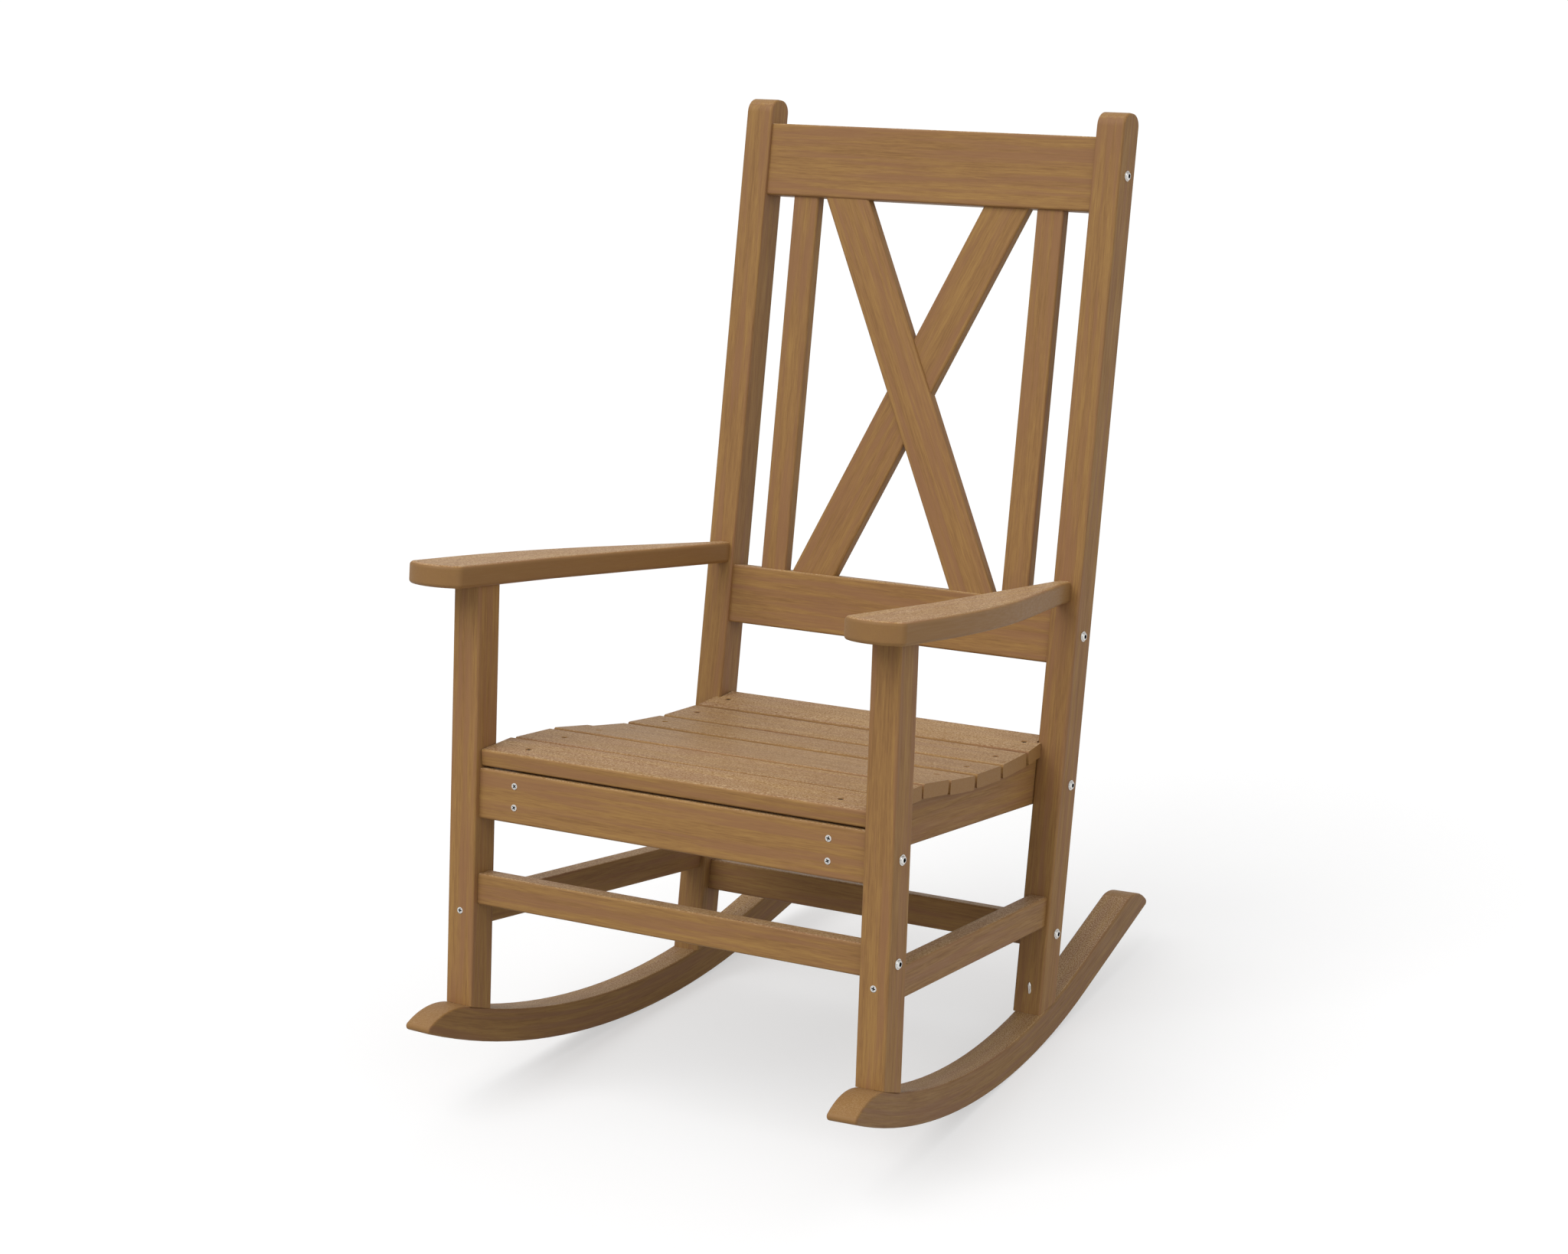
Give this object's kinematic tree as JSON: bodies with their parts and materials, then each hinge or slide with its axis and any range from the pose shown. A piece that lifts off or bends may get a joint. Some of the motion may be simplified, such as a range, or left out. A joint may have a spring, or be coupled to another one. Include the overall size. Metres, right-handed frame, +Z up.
{
  "type": "rocking chair",
  "caption": "Porch rocking chair with slatted contoured seat, tall leaning X-back, broad arms and curved rockers.",
  "frame": {"origin": "on the floor under the middle of the chair's overall box", "axes": "+Z up, -Y the way the sitter faces, +X to the left of a sitter"},
  "size_m": [0.678, 0.8632, 1.1123],
  "materials": {
    "lumber": "moulded lumber in teak brown with fine lengthwise grain",
    "steel": "satin stainless fasteners"
  },
  "bodies": {
    "root": {"apron_screws": "steel", "arm_dowel_screws": "steel", "arm_left": "lumber", "arm_right": "lumber", "back_post_left": "lumber", "back_post_right": "lumber", "back_slat_left": "lumber", "back_slat_right": "lumber", "frame_bolts": "steel", "front_apron": "lumber", "front_leg_left": "lumber", "front_leg_right": "lumber", "front_stretcher": "lumber", "leg_screws": "steel", "lower_back_rail": "lumber", "rear_rail_screws": "steel", "rear_seat_rail": "lumber", "rear_stretcher": "lumber", "rocker_left": "lumber", "rocker_right": "lumber", "rocker_screws": "steel", "seat_slat_1": "lumber", "seat_slat_2": "lumber", "seat_slat_3": "lumber", "seat_slat_4": "lumber", "seat_slat_5": "lumber", "seat_slat_6": "lumber", "seat_slat_7": "lumber", "side_seat_rail_left": "lumber", "side_seat_rail_right": "lumber", "side_stretcher_left": "lumber", "side_stretcher_right": "lumber", "slat_screws": "steel", "top_rail": "lumber", "x_brace_front": "lumber", "x_brace_rear": "lumber", "x_brace_screw": "steel"}
  },
  "joints": []
}
